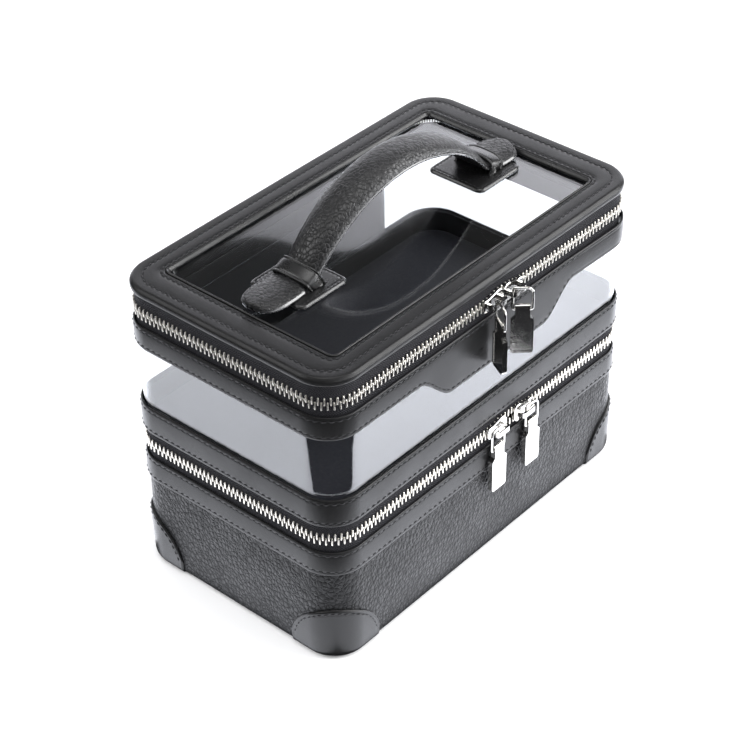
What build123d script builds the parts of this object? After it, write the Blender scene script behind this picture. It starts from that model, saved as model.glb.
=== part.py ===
from build123d import *
from math import acos, cos, degrees, radians, sin, sqrt
import os

# A two-tier cosmetic bag. A pebbled leather base carries a tier with clear walls, and the tier
# carries a lid with a clear window and a handle. Each zip runs round the sides and the front,
# and a leather strip at the back is the hinge of the part above it.
# Millimetres, +X along the bag's length, -Y to its front with the sliders, +Z up.
# The origin is the centre of the underside.

# Plan of the bag
length = 240
width = 141
corner_radius = 19

# Heights, from the ground up
base_height = 71.5
rim_height = 14.5
lower_tape_below = 8
lower_tape_above = 8.5
band_2_height = 16.5
clear_height = 36.5
band_1_height = 13.5
upper_tape_below = 7.5
upper_tape_above = 10.5
skirt_height = 4.5

# Leather, cloth and film
base_leather = 1.4
base_edge_radius = 4.5
band = 1.0
tape = 0.6
strip = 0.8
strip_inset = 1
lining = 0.6
board = 1.4
lay = 0.1
seam_overlap = 5.5
seam_step = 1
lid_seam = 1
lid_leather = 2.4
lid_edge_radius = 1.8
window_film = 0.8
window_seam = 5
back_panel_end = 80.5

# Window, and the flap on the front of the upper band
window_border_x = 19
window_border_y = 14.5
window_corner = 4
bead = 1.4
bead_rise = 0.9
flap_centre = 4.5
flap_flat = 73
flap_shoulder = 25
flap_drop = 16.5

# Patches over the bottom corners
guard_reach = 32
guard_height = 38
guard_round = 18
guard_ground_gap = 0.5

# Zip chain
zip_end = 82
tooth_pitch = 2.87
tooth_width = 1.2
tooth_depth = 2.4
tooth_leg = 2.5
tooth_head = 0.8
tape_edge = 1.0
row_spread = 1.75

# Sliders
slider_length = 15
slider_plate = 1.2
slider_flange = 0.7
slider_chamfer = 0.35
tooth_room = 0.15
row_room = 0.2
tape_room = 0.3
ramp_tail = 3.5
ramp_nose = 4.5
nose_chamfer = 2
tail_round = 1
post_back = 0.9
post_length = 4.5
crown_length = 11.2
crown_top_length = 9.6
crown_height = 3
crown_bar = 1.3
crown_round = 1.5
crown_hole_length = 8.6
crown_hole_depth = 3
crown_hole_round = 0.7
lower_sliders = (4.5, 26)
upper_sliders = (-1.3, 14.2)
lower_seats = (2.6, -0.9)
upper_seats = (-0.8, -3.4)

# Bails and pull tabs
wire = 1.4
wire_sides = 8
bail_width = 10.1
bail_drop = 10
bail_seat = 0.35
bail_bend = 1.2
bail_free_bend = 3.2
bail_end_bend = 1
leg_stand_off = 1.95
pin_reach = 2.85
pin_room = 0.1
tab_thickness = 2.8
tab_width = 11.5
neck_width = 7.4
neck_above = 2.9
neck_below = 4.4
shoulder = 2
tab_length = 26
tab_corner = 1.6
face_rim = 1.1
face_depth = 0.3

# Handle
handle_centre = 4
handle_crown = 215
handle_radius = 82
handle_foot_radius = 13
strap_left_tip = -98
strap_right_tip = 99
strap_width = 24
strap_waist = 21
strap_thickness = 8
strap_foot_thickness = 4.6
strap_edge = 3.2
strap_tip_width = 9
strap_tip_round = 13
strap_seat = 0.2
patch_spacing = 136
patch_length = 34
patch_width = 36
patch_thickness = 2
patch_corner = 4
keeper_length = 10
keeper_leather = 1.3
keeper_room = 0.3

# Levels and layers that follow from the sizes above
rim_low = base_height - rim_height
lower_zip = base_height + lower_tape_below
band_2_low = lower_zip + lower_tape_above
band_2_high = band_2_low + band_2_height
band_1_low = band_2_high + clear_height
band_1_high = band_1_low + band_1_height
upper_zip = band_1_high + upper_tape_below
skirt_low = upper_zip + upper_tape_above
lid_top = skirt_low + skirt_height
film_top = lid_top - lid_leather - lay
film_low = film_top - window_film
under_band = band + lay
under_tape = under_band + tape + lay
under_strip = under_tape + strip + lay
inner_bevel = (base_edge_radius - base_leather) * (2 - sqrt(2))
chain_inset = under_band + tape / 2
ramp_start = ramp_tail - slider_length / 2
ramp_end = slider_length / 2 - ramp_nose
plate_low = tooth_depth / 2 + tooth_room
plate_high = plate_low + slider_plate
bail_rise = crown_height / 2 + bail_seat + wire / 2
patch_top = film_top + lay + patch_thickness
strap_level = patch_top + strap_seat + strap_foot_thickness / 2
foot_angle = degrees(
    acos((strap_level + handle_foot_radius - handle_crown + handle_radius) / (handle_radius + handle_foot_radius))
)
foot_offset = (handle_radius + handle_foot_radius) * sin(radians(foot_angle))


def outline(inset):
    """The bag's plan outline, drawn in from the outside by inset."""
    return RectangleRounded(length - 2 * inset, width - 2 * inset, corner_radius - inset)


def slab(inset, low, high):
    """A block that fills the bag's outline between two heights."""
    return extrude(Pos(0, 0, low) * outline(inset), high - low)


def ring(inset, thickness, low, high):
    """A wall all round the bag between two heights."""
    return extrude(Pos(0, 0, low) * (outline(inset) - outline(inset + thickness)), high - low)


def bowl(inset, low, high, edge_radius):
    """A block in the bag's outline with a rounded bottom edge."""
    block = slab(inset, low, high)
    return fillet(block.edges().group_by(Axis.Z)[0], edge_radius)


def bevelled(inset, low, high):
    """A block in the bag's outline, its bottom edge bevelled as the inside of the base is."""
    block = slab(inset, low, high)
    return chamfer(block.edges().group_by(Axis.Z)[0], inner_bevel)


def back_stretch(half_length, low, high):
    """A block round the middle of the back wall."""
    return Pos(0, width / 2, (low + high) / 2) * Box(2 * half_length, corner_radius, high - low)


def front_plane(x, out, z):
    """A plane facing forward, out from the zip chain's middle: its X along the bag and its Y up."""
    return Plane(origin=(x, chain_inset - width / 2 - out, z), x_dir=(1, 0, 0), z_dir=(0, -1, 0))


def window_outline(grow):
    """The window's opening, grown outwards."""
    x = length - 2 * window_border_x + 2 * grow
    y = width - 2 * window_border_y + 2 * grow
    return RectangleRounded(x, y, window_corner + grow)


def round_corners(face, points, radius):
    """Rounds the face's corners that lie at the points."""
    corners = [face.vertices().sort_by_distance(Vector(*point, 0))[0] for point in points]
    return fillet(corners, radius)


# Base: shell, board, lining, rim band and the patches over its bottom corners

def base_shell():
    high = base_height - seam_overlap - seam_step
    hollow = bevelled(under_band + base_leather, base_leather, high + base_leather)
    return bowl(under_band, 0, high, base_edge_radius) - hollow


def base_board():
    low = base_leather + lay
    return slab(under_band + base_edge_radius + lay, low, low + board)


def base_lining():
    low = base_leather + board + 2 * lay
    inset = under_band + base_leather + lay
    return bevelled(inset, low, base_height) - bevelled(inset + lining, low + lining, base_height + lining)


def corner_guard(x_side, y_side):
    """A leather patch that follows the base's corner and its rounded bottom edge."""
    skin = bowl(0, -under_band, guard_height, base_edge_radius + under_band)
    skin -= bowl(band, -lay, guard_height, base_edge_radius + lay)
    for plane, half in ((Plane.XZ, length / 2), (Plane.YZ, width / 2)):
        inner = (half - guard_reach, guard_height)
        low, high = (half - guard_reach, guard_ground_gap), (half + band, guard_height)
        face = make_face(Polyline(low, inner, high, (half + band, guard_ground_gap), close=True))
        skin &= extrude(plane * round_corners(face, [inner], guard_round), length, both=True)
    if x_side < 0:
        skin = mirror(skin, about=Plane.YZ)
    if y_side < 0:
        skin = mirror(skin, about=Plane.XZ)
    return skin


# Tier: band with the flap, clear wall, floor and back panel

def front_band():
    """The upper band, with a flap that hangs from it on the front."""
    left, right = flap_centre - flap_flat / 2, flap_centre + flap_flat / 2
    low = band_1_low - flap_drop
    edge = [
        Spline((left - flap_shoulder, band_1_low), (left, low), tangents=((1, 0), (1, 0))),
        Line((left, low), (right, low)),
        Spline((right, low), (right + flap_shoulder, band_1_low), tangents=((1, 0), (1, 0))),
        Line((right + flap_shoulder, band_1_low), (left - flap_shoulder, band_1_low)),
    ]
    flap = Plane.XZ.offset(width / 2 - band) * make_face(edge)
    return ring(0, band, band_1_low, band_1_high) + extrude(flap, band)


def back_panel():
    low, high = band_2_high + lay, band_1_low - lay
    return ring(0, band, low, high) & back_stretch(back_panel_end, low, high)


def hinge_strip(low, high):
    """The leather that joins two bodies across the back, between the zip's two ends."""
    return ring(under_band, tape, low, high) & back_stretch(zip_end - tape_room, low, high)


# Zips

def ramp(along):
    """How far the rows are parted, from 0 to 1, at a distance from a slider's middle to its nose."""
    return min(1, max(0, (along - ramp_start) / (ramp_end - ramp_start)))


def parting(x, sliders):
    """How far each row stands off the closed chain between two sliders that face each other."""
    return row_spread * min(ramp(x - sliders[0]), ramp(sliders[1] - x))


def zip_tape(zip_height, far, up, sliders):
    """One tape, with its edge drawn back where the sliders part the rows."""
    edge = zip_height + up * tape_edge
    low, high = min(edge, far), max(edge, far)
    left, right = sliders
    cut = Polyline(
        (left + ramp_start, edge),
        (left + ramp_end, edge + up * row_spread),
        (right - ramp_end, edge + up * row_spread),
        (right - ramp_start, edge),
        close=True,
    )
    notch = extrude(Plane.XZ.offset(width / 2) * make_face(cut), -corner_radius)
    return ring(under_band, tape, low, high) - back_stretch(zip_end, low, high) - notch


def teeth_row(zip_height, up, sliders):
    """Separate teeth clamped on one tape's edge, half a pitch off the teeth of the row they meet."""
    x, y = length / 2 - chain_inset, width / 2 - chain_inset
    corners = [(zip_end, y), (x, y), (x, -y), (-x, -y), (-x, y), (-zip_end, y)]
    line = FilletPolyline(*corners, radius=corner_radius - chain_inset)
    first = tooth_pitch * (0.5 + up / 4)
    count = int((line.length - tooth_pitch) / tooth_pitch)
    shape = Pos(0, 0, up * (tooth_leg - tooth_head) / 2) * Box(tooth_width, tooth_depth, tooth_leg + tooth_head)
    teeth = []
    for number in range(count):
        share = (first + number * tooth_pitch) / line.length
        point, heading = line @ share, line % share
        height = zip_height + up * parting(point.X, sliders)
        teeth.append(Plane(origin=(point.X, point.Y, height), x_dir=heading, z_dir=(0, 0, 1)) * shape)
    return Compound(teeth)


# Sliders, bails and tabs

def channel(grow):
    """The Y-shaped way of the two rows through a slider, grown outwards. Its nose is at +X."""
    half = slider_length / 2
    tail = tooth_leg + row_room + grow
    nose = tail + row_spread
    upper = [(-half, tail), (ramp_start, tail), (ramp_end, nose), (half, nose)]
    lower = [(x, -y) for x, y in reversed(upper)]
    return make_face(Polyline(*upper, *lower, close=True))


def slider(nose_side):
    """A body of two plates, joined at the nose by the post that parts the rows, with a crown on its face."""
    half = slider_length / 2
    plate = channel(slider_flange)
    plate = chamfer(plate.vertices().group_by(Axis.X)[-1], nose_chamfer)
    plate = fillet(plate.vertices().group_by(Axis.X)[0], tail_round)
    front = extrude(Pos(0, 0, plate_low) * plate, slider_plate)
    front = chamfer(front.edges().group_by(Axis.Z)[-1], slider_chamfer)
    slot = tape / 2 + tape_room
    flange = extrude(Pos(0, 0, slot) * (plate - channel(0)), plate_low - slot)
    back = extrude(Pos(0, 0, -plate_low) * plate, -slider_plate)
    post_half = row_spread - tooth_head - tooth_room
    post_x = half - post_back
    post = make_face(Polyline((post_x, post_half), (post_x - post_length, 0), (post_x, -post_half), close=True))
    post = extrude(post, plate_low, both=True)
    body = front + flange + back + mirror(flange, about=Plane.XY) + post + crown()
    if nose_side < 0:
        body = mirror(body, about=Plane.YZ)
    return body


def crown():
    """The bridge on a slider's face. A bail's leg stands in its opening, which runs through it upwards."""
    top = crown_hole_depth + crown_bar
    feet, upper = crown_length / 2, crown_top_length / 2
    arch = make_face(Polyline((-feet, 0), (-upper, top), (upper, top), (feet, 0), close=True))
    arch = round_corners(arch, [(-upper, top), (upper, top)], crown_round)
    half = crown_hole_length / 2
    hole = make_face(Polyline((-half, 0), (-half, crown_hole_depth), (half, crown_hole_depth), (half, 0), close=True))
    hole = round_corners(hole, [(-half, crown_hole_depth), (half, crown_hole_depth)], crown_hole_round)
    profile = Plane.XZ * (arch - hole)
    return Pos(0, 0, plate_high) * extrude(profile, crown_height / 2, both=True)


def bail():
    """A wire loop. Its first leg is its own Y axis, and its two ends turn in to hold a tab's neck."""
    points = [
        (pin_reach, -bail_drop),
        (0, -bail_drop),
        (0, bail_rise),
        (bail_width, bail_rise),
        (bail_width, -bail_drop),
        (bail_width - pin_reach, -bail_drop),
    ]
    line = FilletPolyline(*points, radius=(bail_end_bend, bail_bend, bail_free_bend, bail_end_bend))
    return sweep(Plane(origin=line @ 0, z_dir=line % 0) * RegularPolygon(wire / 2, wire_sides, major_radius=False), line)


def pull_tab():
    """A tab with a necked top, sunken faces and a blind hole in each side of its neck."""
    top, neck_low, bottom = neck_above, -neck_below, -tab_length
    right = [
        (neck_width / 2, top),
        (neck_width / 2, neck_low),
        (tab_width / 2, neck_low - shoulder),
        (tab_width / 2, bottom),
    ]
    left = [(-x, y) for x, y in reversed(right)]
    face = make_face(Polyline(*right, *left, close=True))
    face = round_corners(face, [right[-1], left[0]], tab_corner)
    body = extrude(face, tab_thickness / 2, both=True)
    body = fillet(body.faces().sort_by(Axis.Y)[-1].edges().filter_by(Axis.X), tab_thickness / 2 - pin_room / 2)
    sunk = offset(face, -face_rim, kind=Kind.INTERSECTION)
    hole_end = bail_width / 2 - pin_reach - tape_room
    hole_length = neck_width / 2 - hole_end
    for side in (1, -1):
        body -= extrude(Pos(0, 0, side * tab_thickness / 2) * sunk, -side * face_depth)
        middle = Pos(side * (hole_end + hole_length / 2), 0, 0)
        body -= middle * Rot(0, 90, 0) * Cylinder(wire / 2 + pin_room, hole_length)
    return Pos(bail_width / 2, -bail_drop, 0) * body


def pull_plane(slider_x, seat, heading, zip_height):
    """The plane of one bail, through the leg that stands in the crown, turned to its heading from above."""
    leg = front_plane(slider_x + seat, plate_high + leg_stand_off, zip_height).origin
    along = (cos(radians(heading)), sin(radians(heading)), 0)
    return Plane(origin=leg, x_dir=along, z_dir=(along[1], -along[0], 0))


# Lid: frame, bead, window, board and lining

def lid_frame():
    """The leather border of the window, with a short skirt all round."""
    block = slab(0, skirt_low, lid_top)
    block = fillet(block.edges().group_by(Axis.Z)[-1], lid_edge_radius)
    opening = extrude(Pos(0, 0, skirt_low) * window_outline(0), lid_top)
    return block - slab(band, skirt_low, film_top + lay) - opening


def window_bead():
    """The rolled edge inside the window's border."""
    low = film_top + lay
    wall = window_outline(-lay) - window_outline(-lay - bead)
    roll = extrude(Pos(0, 0, low) * wall, lid_top + bead_rise - low)
    return chamfer(roll.edges().group_by(Axis.Z)[-1], bead * 0.3)


# Handle

def strap_section(x, z, tilt, breadth, thickness):
    """A domed cross-section of the strap, square to its run."""
    half, low = breadth / 2, -thickness / 2
    edge = low + min(strap_edge, thickness * 0.8)
    sides = [
        Line((-half, edge), (-half, low)),
        Line((-half, low), (half, low)),
        Line((half, low), (half, edge)),
        ThreePointArc((half, edge), (0, thickness / 2), (-half, edge)),
    ]
    run = (cos(radians(tilt)), 0, sin(radians(tilt)))
    return Plane(origin=(x, 0, z), x_dir=(0, 1, 0), z_dir=run) * make_face(sides)


def strap_half(side, tip):
    """Sections from a tip, along the lid, round the foot and up the arch, short of its crown."""
    sections = []
    for share in (0, 0.15, 0.45, 1):
        breadth = strap_tip_width + (strap_width - strap_tip_width) * sqrt(1 - (1 - share) ** 2)
        sections.append((tip - side * share * strap_tip_round, strap_level, 0, breadth, strap_foot_thickness))
    for share in (0, 0.5, 1):
        turn = radians(foot_angle * share)
        x = handle_centre + side * (foot_offset - handle_foot_radius * sin(turn))
        z = strap_level + handle_foot_radius * (1 - cos(turn))
        sections.append((x, z, -side * foot_angle * share, strap_waist, strap_foot_thickness))
    for share in (0.8, 0.55, 0.28):
        turn = radians(foot_angle * share)
        x = handle_centre + side * handle_radius * sin(turn)
        z = handle_crown - handle_radius * (1 - cos(turn))
        breadth = strap_width - (strap_width - strap_waist) * share**2
        thickness = strap_thickness - (strap_thickness - strap_foot_thickness) * share**2
        sections.append((x, z, -side * foot_angle * share, breadth, thickness))
    return [strap_section(*section) for section in sections]


def handle_strap():
    crown_section = strap_section(handle_centre, handle_crown, 0, strap_width, strap_thickness)
    right = strap_half(1, strap_right_tip)
    return loft(strap_half(-1, strap_left_tip) + [crown_section] + right[::-1])


def handle_patch(side):
    place = Pos(handle_centre + side * patch_spacing / 2, 0, film_top + lay)
    return place * extrude(RectangleRounded(patch_length, patch_width, patch_corner), patch_thickness)


def keeper(side):
    """A loop over the strap where it starts to rise, with its feet on the patch."""
    turn = radians(foot_angle / 2)
    x = handle_centre + side * (foot_offset - handle_foot_radius * sin(turn))
    z = strap_level + handle_foot_radius * (1 - cos(turn))
    sag = handle_foot_radius - sqrt(handle_foot_radius**2 - keeper_length**2 / 4)
    half = strap_waist / 2 + keeper_room
    top = strap_foot_thickness / 2 + sag + keeper_room
    reach = z - film_top + keeper_length
    loop = Pos(0, (top + keeper_leather - reach) / 2) * Rectangle(
        2 * (half + keeper_leather), top + keeper_leather + reach
    )
    loop -= Pos(0, (top - reach) / 2) * Rectangle(2 * half, top + reach)
    run = (cos(turn), 0, -side * sin(turn))
    solid = extrude(Plane(origin=(x, 0, z), x_dir=(0, 1, 0), z_dir=run) * loop, keeper_length / 2, both=True)
    return solid & Pos(x, 0, patch_top + lid_top / 2) * Box(length, width, lid_top)


# The whole bag: each node is one solid, except a row of teeth, which is a group of solids

nodes = {
    "base_shell": base_shell(),
    "base_board": base_board(),
    "base_lining": base_lining(),
    "base_rim_band": ring(0, band, rim_low, base_height),
    "lower_zip_lower_tape": zip_tape(lower_zip, base_height - seam_overlap, -1, lower_sliders),
    "lower_zip_lower_teeth": teeth_row(lower_zip, -1, lower_sliders),
    "lower_hinge_strip": hinge_strip(base_height - seam_overlap, band_2_low + seam_overlap),
    "lower_zip_upper_tape": zip_tape(lower_zip, band_2_low + seam_overlap, 1, lower_sliders),
    "lower_zip_upper_teeth": teeth_row(lower_zip, 1, lower_sliders),
    "tier_floor_cloth": slab(under_strip, band_2_low + lay, band_2_low + lay + lining),
    "tier_floor_board": slab(under_strip, band_2_low + lining + 2 * lay, band_2_low + lining + 2 * lay + board),
    "tier_floor_lining": slab(
        under_strip, band_2_low + lining + board + 3 * lay, band_2_low + 2 * lining + board + 3 * lay
    ),
    "lower_band": ring(0, band, band_2_low, band_2_high),
    "lower_band_strip": ring(under_tape, strip, band_2_low, band_2_high - strip_inset),
    "clear_wall": ring(
        under_band, tape, band_2_low + seam_overlap + seam_step, band_1_high - seam_overlap - seam_step
    ),
    "back_panel": back_panel(),
    "upper_band": front_band(),
    "upper_band_strip": ring(under_tape, strip, band_1_low + strip_inset, band_1_high - strip_inset),
    "upper_zip_lower_tape": zip_tape(upper_zip, band_1_high - seam_overlap, -1, upper_sliders),
    "upper_zip_lower_teeth": teeth_row(upper_zip, -1, upper_sliders),
    "upper_hinge_strip": hinge_strip(band_1_high - seam_overlap, skirt_low + lid_seam),
    "upper_zip_upper_tape": zip_tape(upper_zip, skirt_low + lid_seam, 1, upper_sliders),
    "upper_zip_upper_teeth": teeth_row(upper_zip, 1, upper_sliders),
    "lid_frame": lid_frame(),
    "window_film": extrude(Pos(0, 0, film_low) * window_outline(window_seam), window_film),
    "window_bead": window_bead(),
    "lid_board": extrude(Pos(0, 0, film_low) * (outline(under_tape) - window_outline(window_seam + lay)), window_film),
    "lid_lining": extrude(Pos(0, 0, film_low - lay) * (outline(under_tape) - window_outline(0)), -lining),
    "handle_strap": handle_strap(),
}

for side, label in ((-1, "left"), (1, "right")):
    nodes[f"handle_patch_{label}"] = handle_patch(side)
    nodes[f"keeper_{label}"] = keeper(side)
    for y_side, y_label in ((-1, "front"), (1, "back")):
        nodes[f"corner_guard_{y_label}_{label}"] = corner_guard(side, y_side)

# Each pull: the name, its slider, the side of its nose, the zip, the leg's seat in the crown and its heading
pulls = (
    ("lower_left", lower_sliders[0], 1, lower_zip, lower_seats[0], 180),
    ("lower_right", lower_sliders[1], -1, lower_zip, lower_seats[1], 0),
    ("upper_left", upper_sliders[0], 1, upper_zip, upper_seats[0], -117),
    ("upper_right", upper_sliders[1], -1, upper_zip, upper_seats[1], -47),
)
for name, x, nose_side, zip_height, seat, heading in pulls:
    plane = pull_plane(x, seat, heading, zip_height)
    nodes[f"slider_{name}"] = front_plane(x, 0, zip_height) * slider(nose_side)
    nodes[f"bail_{name}"] = plane * bail()
    nodes[f"pull_tab_{name}"] = plane * pull_tab()

os.makedirs("parts", exist_ok=True)
for name, shape in nodes.items():
    shape.label = name
    export_step(shape, f"parts/{name}.step")
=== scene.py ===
import math

import bpy
import numpy as np
from mathutils import Matrix, Vector


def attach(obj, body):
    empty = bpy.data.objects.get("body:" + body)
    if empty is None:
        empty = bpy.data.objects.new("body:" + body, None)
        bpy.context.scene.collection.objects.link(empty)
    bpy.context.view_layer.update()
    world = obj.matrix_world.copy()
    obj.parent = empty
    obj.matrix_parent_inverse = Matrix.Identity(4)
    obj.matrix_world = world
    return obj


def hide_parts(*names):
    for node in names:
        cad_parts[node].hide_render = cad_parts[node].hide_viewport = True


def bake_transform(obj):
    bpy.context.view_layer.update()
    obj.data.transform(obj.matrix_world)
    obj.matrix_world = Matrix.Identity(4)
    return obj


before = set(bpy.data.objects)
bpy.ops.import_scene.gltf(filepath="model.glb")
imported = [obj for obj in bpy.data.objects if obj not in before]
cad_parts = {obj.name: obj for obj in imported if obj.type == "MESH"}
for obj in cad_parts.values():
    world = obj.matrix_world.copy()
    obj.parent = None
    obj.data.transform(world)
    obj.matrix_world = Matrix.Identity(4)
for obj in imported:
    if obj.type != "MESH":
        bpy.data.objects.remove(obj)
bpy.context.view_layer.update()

# Sizes are in millimetres, as in the part's source, and meshes are written in metres.
MM = 0.001
LENGTH, WIDTH, CORNER = 240, 141, 19
BASE_HIGH, RIM_LOW = 71.5, 57
LOWER_ZIP, UPPER_ZIP = 79.5, 162
BAND_1, BAND_2 = (141, 154.5), (88, 104.5)
FILM_TOP, FILM_LOW = 174.5, 173.7
TAPE_IN, TAPE_OUT = 1.7, 1.1
ZIP_END = 82
CHAIN_INSET = 1.4
PITCH, ROW_SPREAD = 2.87, 1.75
LOWER_SLIDERS, UPPER_SLIDERS = (4.5, 26), (-1.3, 14.2)
RAMP = (-4, 3)
BORDER_X, BORDER_Y, WINDOW_CORNER = 19, 14.5, 4
FLAP_CENTRE, FLAP_FLAT, FLAP_SHOULDER, FLAP_DROP = 4.5, 73, 25, 16.5
HANDLE_X, CROWN_Z, ARCH, FOOT = 4, 215, 82, 13
TIPS = (-98, 99)
STRAP_Z = 179.1
PATCH_TOP = 176.6
FOOT_ANGLE = math.acos((STRAP_Z + FOOT - CROWN_Z + ARCH) / (ARCH + FOOT))
FOOT_OFFSET = (ARCH + FOOT) * math.sin(FOOT_ANGLE)
# The corner patches' upper edge: its height at each distance from the corner's two outer lines.
GUARD_SPOTS = (0, 8, 14, 19, 23, 26.5, 29, 30.7, 32)
GUARD_TOPS = (34.4, 33.6, 31.4, 28.3, 25, 21, 16.5, 12, 8)
GUARD_INSET, GUARD_ROUND, GUARD_TURN, GUARD_ROWS = 0.95, 5.0, 5.6 * math.radians(46), 44
# The base's soft wall: the height where it starts to stand out, how tall that part is, and how far it goes.
BULGE_LOW, BULGE_TALL, BULGE = 4, 58, 1.1
# The hinges' axis, in metres, and the plane in front of the bag where the bails' upright legs stand.
HINGE_Y, BAIL_Y = 0.0691, -73.6
# Stitch lines: their distance from a band's edge, and the pitch on bands, on the lid and on the handle.
SEAM, BAND_PITCH, LID_PITCH, FINE_PITCH = 2.2, 3.9, 3.6, 2.6
FINE_THREAD = {"length": 1.7, "wide": 0.42}
WELT, EDGE_SEAM = 1.5, 1.9
GLOW_LEFT, GLOW_FRONT, GLOW_NOTCH = -253, -198, (-158, -103)
DARK_ROOM = (0.02, 0.02, 0.022)
UP = np.array([0, 0, 1.0])
ENDS = ((-1, "left"), (1, "right"))
FACES = ((-1, "front"), (1, "back"))


def placed(name, data):
    obj = bpy.data.objects.new(name, data)
    bpy.context.scene.collection.objects.link(obj)
    return obj


# Materials

class Look:
    """A material or a world being made: its nodes, and a material's shader that they feed."""

    def __init__(self, name, made=None):
        self.mat = made or bpy.data.materials.new(name)
        self.mat.use_nodes = True
        self.tree = self.mat.node_tree
        self.shader = self.tree.nodes.get("Principled BSDF")
        self.point = self.node("ShaderNodeTexCoord").outputs["Object"]

    def link(self, a, b):
        self.tree.links.new(a, b)

    def node(self, kind, feed=None, into="Vector", **values):
        """A node with its settings, its inputs by name with spaces as underscores, and one input fed."""
        made = self.tree.nodes.new(kind)
        for key, value in values.items():
            label = key.replace("_", " ")
            if label in made.inputs and not hasattr(made, key):
                made.inputs[label].default_value = value
            else:
                setattr(made, key, value)
        if feed is not None:
            self.link(feed, made.inputs[into])
        return made

    def math(self, operation, *terms):
        made = self.node("ShaderNodeMath", operation=operation)
        for slot, value in zip(made.inputs, terms):
            if isinstance(value, (int, float)):
                slot.default_value = value
            else:
                self.link(value, slot)
        return made.outputs[0]

    def ramp(self, source, low, high, a, b):
        """Maps the source from low..high to a..b, held at the ends."""
        made = self.node("ShaderNodeMapRange", source, 0, clamp=True)
        for slot, value in zip(made.inputs[1:5], (low, high, a, b)):
            slot.default_value = value
        return made.outputs[0]

    def noise(self, scale, detail=3.0, roughness=0.5):
        made = self.node("ShaderNodeTexNoise", self.point, Scale=scale, Detail=detail, Roughness=roughness)
        return made.outputs["Fac"]

    def wave(self, source, pitch):
        return self.math("SINE", self.math("MULTIPLY", source, 2 * math.pi / pitch))

    def tint(self, source, dark, light):
        made = self.node("ShaderNodeValToRGB", source, "Fac")
        made.color_ramp.elements[0].color = (*dark, 1)
        made.color_ramp.elements[1].color = (*light, 1)
        return made.outputs["Color"]

    def finish(self, colour, rough, heights, distance, **values):
        """Feeds the shader its colour, roughness and a bump of weighted heights, and sets plain inputs."""
        self.link(colour, self.shader.inputs["Base Color"])
        self.link(rough, self.shader.inputs["Roughness"])
        total = None
        for source, weight in heights:
            part = self.math("MULTIPLY", source, weight)
            total = part if total is None else self.math("ADD", total, part)
        made = self.node("ShaderNodeBump", total, "Height", Strength=1.0, Distance=distance)
        self.link(made.outputs["Normal"], self.shader.inputs["Normal"])
        for key, value in values.items():
            self.shader.inputs[key.replace("_", " ")].default_value = value
        return self.mat

    def surface(self, made):
        """Puts another shader in place of the usual one."""
        self.tree.nodes.remove(self.shader)
        self.link(made.outputs[0], self.tree.nodes["Material Output"].inputs["Surface"])
        return self.mat


def pebbled_leather(name="pebbled_leather", shine=0.17, deep=0.00055):
    """Grained leather: rounded pebbles with creases between them, glossier where they are worn smooth, with
    painted shade and sheen in its colour: darker in the creases, lighter on the pebbles' tops.
    """
    look = Look(name)
    warp = look.node("ShaderNodeTexNoise", look.point, Scale=260.0, Detail=2.0)
    stretch = look.node("ShaderNodeVectorMath", look.point, 0, operation="MULTIPLY")
    stretch.inputs[1].default_value = (1.1, 1.1, 0.9)
    moved = look.node("ShaderNodeMix", stretch.outputs[0], 4, data_type="VECTOR")
    moved.inputs[0].default_value = 0.0016
    look.link(warp.outputs["Color"], moved.inputs[5])
    cells = look.node("ShaderNodeTexVoronoi", moved.outputs[1], feature="SMOOTH_F1", Scale=400.0,
                      Smoothness=0.35, Randomness=1.0)
    gaps = look.node("ShaderNodeTexVoronoi", moved.outputs[1], feature="DISTANCE_TO_EDGE", Scale=400.0,
                     Randomness=1.0)
    crease = look.ramp(gaps.outputs["Distance"], 0.0, 0.12, 0.0, 1.0)
    dome = look.ramp(cells.outputs["Distance"], 0.0, 0.75, 1.0, 0.0)
    worn = look.math("ADD", look.ramp(dome, 0.2, 0.9, 0.46, 0.3),
                     look.ramp(look.noise(38.0), 0.35, 0.65, -0.04, 0.05))
    # Painted shade and sheen: the colour is darkest in the creases between the pebbles and lightest on their
    # tops.
    colour = look.tint(dome, (0.003, 0.003, 0.0035), (0.012, 0.012, 0.013))
    heights = ((crease, 0.45), (dome, 0.5), (look.noise(3000.0, 2.0), 0.01))
    return look.finish(colour, worn, heights, deep, Specular_IOR_Level=shine)


def smooth_leather(name="smooth_leather", dark=0.008, rough=0.34, shine=0.22):
    """Close-grained leather with faint pores, faint waves and uneven polish."""
    look = Look(name)
    pores = look.node("ShaderNodeTexVoronoi", look.point, feature="F1", Scale=2300.0)
    pore = look.ramp(pores.outputs["Distance"], 0.0, 0.5, 0.0, 1.0)
    fine, broad = look.noise(1500.0, 4.0, 0.6), look.noise(55.0)
    colour = look.tint(fine, (dark * 0.7,) * 3, (dark * 1.5, dark * 1.5, dark * 1.6))
    polish = look.math("ADD", look.ramp(broad, 0.3, 0.7, rough - 0.05, rough + 0.06),
                       look.ramp(fine, 0.3, 0.7, -0.03, 0.03))
    heights = ((pore, 0.35), (fine, 0.5), (broad, 1.6))
    return look.finish(colour, polish, heights, 0.00009, Specular_IOR_Level=shine)


def edge_paint():
    """Burnished, painted leather edges, glossier than the face."""
    look = Look("edge_paint")
    fine = look.noise(420.0)
    colour = look.tint(fine, (0.012, 0.012, 0.013), (0.035, 0.035, 0.038))
    return look.finish(colour, look.ramp(fine, 0.3, 0.7, 0.2, 0.34), ((fine, 1.0),), 0.00008,
                       Coat_Weight=0.6, Coat_Roughness=0.16)


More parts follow.
